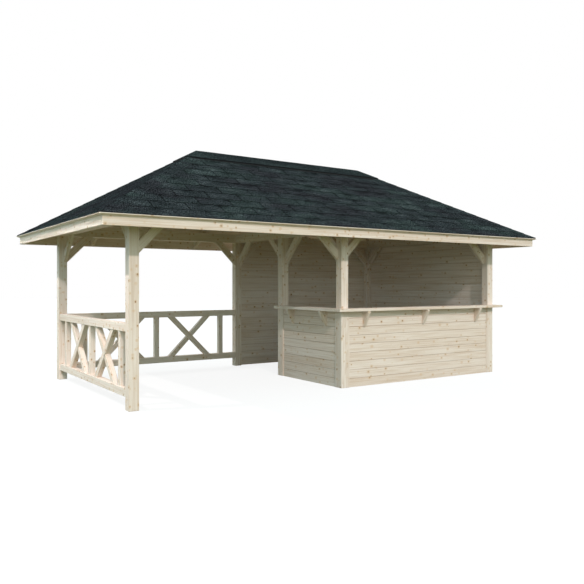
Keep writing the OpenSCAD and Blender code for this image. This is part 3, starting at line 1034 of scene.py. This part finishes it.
SUN_SPREAD = math.radians(2)
SIDE_LAMP_RADIUS = 0.05
FLOOR_RADIUS = 60.0
FLOOR_SIDES = 64
FLOOR_DROP = 0.001
FLOOR_GLOW = 0.86
SENSOR_WIDTH = 36


def seen_directly(tree):
    """1 for what the camera or a reflection shows, and 0 for the light that falls on things."""
    path = put(tree, "ShaderNodeLightPath").outputs
    seen = reckon(tree, "MAXIMUM", path["Is Camera Ray"], path["Is Glossy Ray"])
    return reckon(tree, "MAXIMUM", seen, path["Is Transmission Ray"])


def mix_shaders(tree, factor, first, second):
    return put(tree, "ShaderNodeMixShader", {0: factor, 1: first.outputs[0], 2: second.outputs[0]})


def light_world(stage):
    """Shows plain white to the camera, and the sky's colour to the light that falls on things."""
    world = bpy.data.worlds.new("Studio")
    world.use_nodes = True
    tree = world.node_tree
    white = put(tree, "ShaderNodeBackground", {"Color": WHITE, "Strength": 1.0})
    sky = put(tree, "ShaderNodeBackground", {"Color": opaque(stage.sky), "Strength": stage.sky_strength})
    mixed = mix_shaders(tree, seen_directly(tree), sky, white)
    tree.links.new(mixed.outputs[0], tree.nodes["World Output"].inputs["Surface"])
    bpy.context.scene.world = world


def add_lamp(name, kind, power, colour, away):
    """A lamp that shines against the direction away."""
    lamp = bpy.data.lights.new(name, kind)
    lamp.energy = power
    lamp.color = colour
    made = add_object(name, lamp)
    made.rotation_euler = away.to_track_quat("Z", "Y").to_euler()
    return made


def light_sun(stage):
    level = math.cos(stage.sun_height)
    towards = Vector((
        -math.sin(stage.sun_turn) * level, -math.cos(stage.sun_turn) * level, math.sin(stage.sun_height)
    ))
    sun = add_lamp("Sun", "SUN", stage.sun_strength, stage.sun_colour, towards)
    sun.data.angle = SUN_SPREAD


def light_side(stage):
    """A lamp beside the left end that shines in under its eave, and not on the roof."""
    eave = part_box("left_fascia")[0]
    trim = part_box("eave_trim")[0]
    away = Vector((-math.cos(stage.side_height), 0, math.sin(stage.side_height)))
    place = Vector((eave.x, -stage.side_shift, eave.z)) + away * stage.side_distance
    past_trim = Vector((trim.x - place.x, 0, trim.z - place.z)).normalized()
    upwards = Vector((-past_trim.z, 0, past_trim.x))
    side = add_lamp("Side lamp", "SPOT", stage.side_power, stage.side_colour, upwards)
    side.location = place
    side.data.spot_size = math.pi
    side.data.spot_blend = 0.0
    side.data.shadow_soft_size = SIDE_LAMP_RADIUS


def soft_lamp(name, power, size, colour, place):
    """A broad soft lamp, turned to the middle of the back wall."""
    low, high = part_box("back_wall")
    soft = add_lamp(name, "AREA", power, colour, Vector(place) - (low + high) / 2)
    soft.location = place
    soft.data.shape = "SQUARE"
    soft.data.size = size
    soft.visible_camera = False


def floor_material(stage):
    """White under the camera with a faint shadow, and a mid ground tone for the light thrown back."""
    material = bpy.data.materials.new("Floor")
    material.use_nodes = True
    tree = material.node_tree
    tree.nodes.remove(tree.nodes["Principled BSDF"])
    ground = put(tree, "ShaderNodeBsdfDiffuse", {"Color": opaque(stage.ground)})
    pale = put(tree, "ShaderNodeBsdfDiffuse", {"Color": opaque(stage.floor)})
    glow = put(tree, "ShaderNodeEmission", {"Color": WHITE, "Strength": 1.0})
    shown = mix_shaders(tree, FLOOR_GLOW, pale, glow)
    mixed = mix_shaders(tree, seen_directly(tree), ground, shown)
    tree.links.new(mixed.outputs[0], tree.nodes["Material Output"].inputs["Surface"])
    return material


def lay_floor(stage):
    turns = [FULL_TURN * i / FLOOR_SIDES for i in range(FLOOR_SIDES)]
    points = [(FLOOR_RADIUS * math.cos(turn), FLOOR_RADIUS * math.sin(turn), 0.0) for turn in turns]
    mesh = bpy.data.meshes.new("floor")
    mesh.from_pydata(points, [], [list(range(FLOOR_SIDES))])
    mesh.materials.append(floor_material(stage))
    floor = add_object("floor", mesh)
    floor.location.z = CAD_BOX[0].z - FLOOR_DROP


def place_camera(stage):
    lens = bpy.data.cameras.new("Camera")
    lens.lens = stage.lens
    lens.sensor_width = SENSOR_WIDTH
    lens.shift_x = -stage.sway
    lens.shift_y = -stage.rise
    camera = add_object("Camera", lens)
    camera.location = stage.camera_place
    camera.rotation_euler = (FULL_TURN / 4, 0, -stage.camera_turn)
    bpy.context.scene.camera = camera


# Operators


class GAZEBO_OT_dress_timbers(bpy.types.Operator):
    """Gives posts, beams, braces, rafters, eaves and bar joinery their grain and eased edges"""

    bl_idname = "gazebo.dress_timbers"
    bl_label = "Dress timbers"
    seed = 11

    def execute(self, context):
        timber = context.scene.gazebo_timber
        draw = random.Random(self.seed)
        rough = spruce_material(TIMBER, timber)
        smooth = spruce_material(BOARDS, timber)
        dress_solids(POSTS + BEAMS + BRACES + ROOF_FRAME, rough, timber.edge_round, draw)
        dress_solids(EAVES, rough, timber.edge_round / 2, draw)
        dress_solids(BAR_JOINERY, smooth, timber.edge_round / 2, draw)
        return {"FINISHED"}


class GAZEBO_OT_build_railings(bpy.types.Operator):
    """Builds the rails, uprights and crosses of both railings"""

    bl_idname = "gazebo.build_railings"
    bl_label = "Build railings"
    seed = 23

    def execute(self, context):
        timber = context.scene.gazebo_timber
        draw = random.Random(self.seed)
        material = spruce_material(TIMBER, timber)
        for name in RAILINGS:
            build_railing(name, timber, material, draw)
        return {"FINISHED"}


class GAZEBO_OT_board_walls(bpy.types.Operator):
    """Boards the four walls of the bar"""

    bl_idname = "gazebo.board_walls"
    bl_label = "Board walls"
    seed = 37

    def execute(self, context):
        scene = context.scene
        draw = random.Random(self.seed)
        material = spruce_material(BOARDS, scene.gazebo_timber)
        for name in WALLS:
            board_wall(name, scene.gazebo_boards, material, draw)
        return {"FINISHED"}


class GAZEBO_OT_board_roof(bpy.types.Operator):
    """Boards the four slopes of the roof"""

    bl_idname = "gazebo.board_roof"
    bl_label = "Board roof"
    seed = 41

    def execute(self, context):
        scene = context.scene
        draw = random.Random(self.seed)
        material = spruce_material(BOARDS, scene.gazebo_timber)
        for side in SIDES:
            board_slope(side, scene.gazebo_boards, material, draw)
        return {"FINISHED"}


class GAZEBO_OT_lay_shingles(bpy.types.Operator):
    """Lays the shingle courses of the four slopes"""

    bl_idname = "gazebo.lay_shingles"
    bl_label = "Lay shingles"
    seed = 53

    def execute(self, context):
        shingles = context.scene.gazebo_shingles
        draw = random.Random(self.seed)
        materials = granules_and_edge("Shingle granules", shingles, True)
        for side in SIDES:
            shingle_slope(side, shingles, materials, draw)
        return {"FINISHED"}


class GAZEBO_OT_cap_roof(bpy.types.Operator):
    """Caps the hips and the ridge"""

    bl_idname = "gazebo.cap_roof"
    bl_label = "Cap roof"
    seed = 61

    def execute(self, context):
        shingles = context.scene.gazebo_shingles
        draw = random.Random(self.seed)
        slopes = {side: Slope(side) for side in SIDES}
        hips = Heap()
        for first, second in zip(SIDES, SIDES[1:] + SIDES[:1]):
            cap_hip(hips, slopes[first], slopes[second], shingles, draw)
        materials = granules_and_edge("Shingle granules", shingles, True)
        hips.piece("hip_cap_sheets", materials, "capping", "hip_caps")
        ridge = Heap()
        for side in SIDES:
            cap_ridge(ridge, slopes[side], draw)
        materials = granules_and_edge("Cap granules", shingles, False)
        ridge.piece("ridge_cap_sheets", materials, "capping", "ridge_cap")
        return {"FINISHED"}


class GAZEBO_OT_set_stage(bpy.types.Operator):
    """Lays the floor and sets the light and the camera"""

    bl_idname = "gazebo.set_stage"
    bl_label = "Set stage"

    def execute(self, context):
        stage = context.scene.gazebo_stage
        light_world(stage)
        light_sun(stage)
        light_side(stage)
        soft_lamp("Back lamp", stage.back_power, stage.lamp_size, stage.back_colour, stage.back_place)
        soft_lamp("Left lamp", stage.left_power, stage.lamp_size, stage.left_colour, stage.left_place)
        soft_lamp("Front lamp", stage.front_power, stage.lamp_size, stage.front_colour, stage.front_place)
        lay_floor(stage)
        place_camera(stage)
        context.scene.view_settings.view_transform = "Standard"
        return {"FINISHED"}


class GAZEBO_PT_panel(bpy.types.Panel):
    """Lists the steps that dress the gazebo"""

    bl_label = "Gazebo"
    bl_idname = "GAZEBO_PT_panel"
    bl_space_type = "VIEW_3D"
    bl_region_type = "UI"
    bl_category = "Gazebo"

    def draw(self, context):
        for step in STEPS:
            self.layout.operator(step.bl_idname)
        for name in SETTINGS:
            box = self.layout.box()
            group = getattr(context.scene, name)
            for key in group.__annotations__:
                box.prop(group, key)


STEPS = (
    GAZEBO_OT_dress_timbers,
    GAZEBO_OT_build_railings,
    GAZEBO_OT_board_walls,
    GAZEBO_OT_board_roof,
    GAZEBO_OT_lay_shingles,
    GAZEBO_OT_cap_roof,
    GAZEBO_OT_set_stage,
)
SETTINGS = {
    "gazebo_timber": GazeboTimber,
    "gazebo_boards": GazeboBoards,
    "gazebo_shingles": GazeboShingles,
    "gazebo_stage": GazeboStage,
}


def register():
    for kind in (*SETTINGS.values(), *STEPS, GAZEBO_PT_panel):
        bpy.utils.register_class(kind)
    for name, kind in SETTINGS.items():
        setattr(bpy.types.Scene, name, bpy.props.PointerProperty(type=kind))


def unregister():
    for name in SETTINGS:
        delattr(bpy.types.Scene, name)
    for kind in reversed((*SETTINGS.values(), *STEPS, GAZEBO_PT_panel)):
        bpy.utils.unregister_class(kind)


def main():
    register()
    bpy.ops.gazebo.dress_timbers()
    bpy.ops.gazebo.build_railings()
    bpy.ops.gazebo.board_walls()
    bpy.ops.gazebo.board_roof()
    bpy.ops.gazebo.lay_shingles()
    bpy.ops.gazebo.cap_roof()
    bpy.ops.gazebo.set_stage()


if __name__ == "__main__":
    main()
